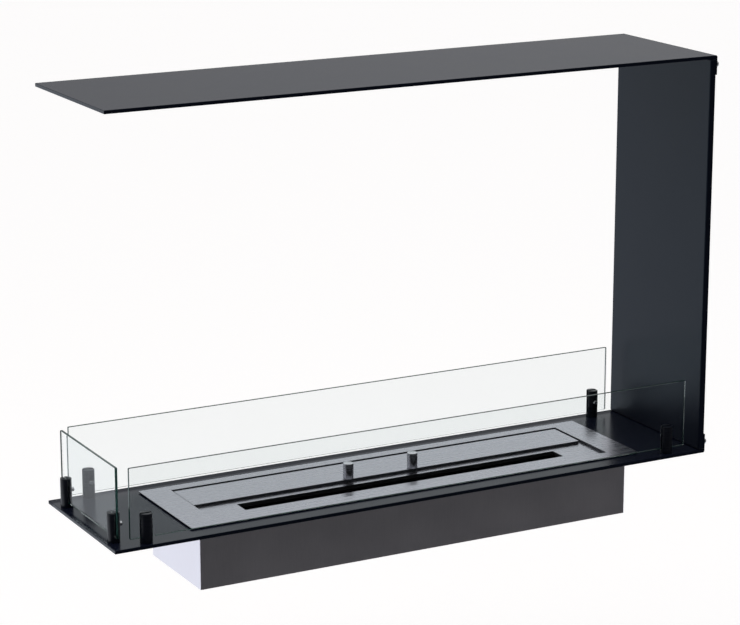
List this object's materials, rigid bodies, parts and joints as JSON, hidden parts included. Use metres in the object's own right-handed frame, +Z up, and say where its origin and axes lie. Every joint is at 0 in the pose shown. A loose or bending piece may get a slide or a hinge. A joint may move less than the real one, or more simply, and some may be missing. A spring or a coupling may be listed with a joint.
{
  "type": "bioethanol fireplace",
  "caption": "Open-sided bioethanol fireplace: folded sheet frame closed at one end, drop-in burner with a sliding lid over its flame slot, and glass panes clamped in slotted posts.",
  "frame": {"origin": "middle of the base plate's footprint, on the underside of its hems, where the ledge carries it", "axes": "+Z up, +X along the fireplace towards its closed end, -Y towards the front"},
  "size_m": [1.0083, 0.252, 0.72],
  "materials": {
    "frame_paint": "satin anthracite powder coat",
    "black_steel": "smooth satin black",
    "burner_steel": "fine brushed along the length",
    "casing_steel": "mill finish with a faint grain",
    "clear_glass": "clear, polished edges, faint green",
    "fastener_steel": "bright plated",
    "seal": "matt black heat-proof seal",
    "ceramic_fibre": "matt white fibre"
  },
  "bodies": {
    "frame": {"base_plate": "frame_paint", "top_plate": "frame_paint", "side_panel": "frame_paint", "washer_bottom_front": "fastener_steel", "washer_bottom_back": "fastener_steel", "washer_top_front": "fastener_steel", "washer_top_back": "fastener_steel", "nut_bottom_front": "fastener_steel", "nut_bottom_back": "fastener_steel", "nut_top_front": "fastener_steel", "nut_top_back": "fastener_steel", "glass_front": "clear_glass", "glass_back": "clear_glass", "glass_left": "clear_glass", "post_front_left": "black_steel", "post_front_right": "black_steel", "post_back_left": "black_steel", "post_back_right": "black_steel", "post_left_front": "black_steel", "post_left_back": "black_steel", "clamp_screw_front_left": "fastener_steel", "clamp_screw_front_right": "fastener_steel", "clamp_screw_back_left": "fastener_steel", "clamp_screw_back_right": "fastener_steel", "clamp_screw_left_front": "fastener_steel", "clamp_screw_left_back": "fastener_steel", "post_screw_front_left": "fastener_steel", "post_screw_front_right": "fastener_steel", "post_screw_back_left": "fastener_steel", "post_screw_back_right": "fastener_steel", "post_screw_left_front": "fastener_steel", "post_screw_left_back": "fastener_steel"},
    "burner": {"burner_flange": "burner_steel", "flange_gasket": "seal", "burner_deck": "burner_steel", "outer_casing": "casing_steel", "fuel_tank": "casing_steel", "wick_block": "ceramic_fibre", "wick_grate": "casing_steel"},
    "lid": {"lid": "burner_steel", "knob_left": "burner_steel", "knob_right": "burner_steel", "knob_screw_left": "fastener_steel", "knob_screw_right": "fastener_steel"}
  },
  "joints": [
    {"name": "burner_lift", "type": "slide", "parent": "frame", "child": "burner", "axis": [0, 0, 1], "range_m": [0, 0.12]},
    {"name": "lid_slide", "type": "slide", "parent": "burner", "child": "lid", "axis": [0, -1, 0], "range_m": [0, 0.07]}
  ]
}
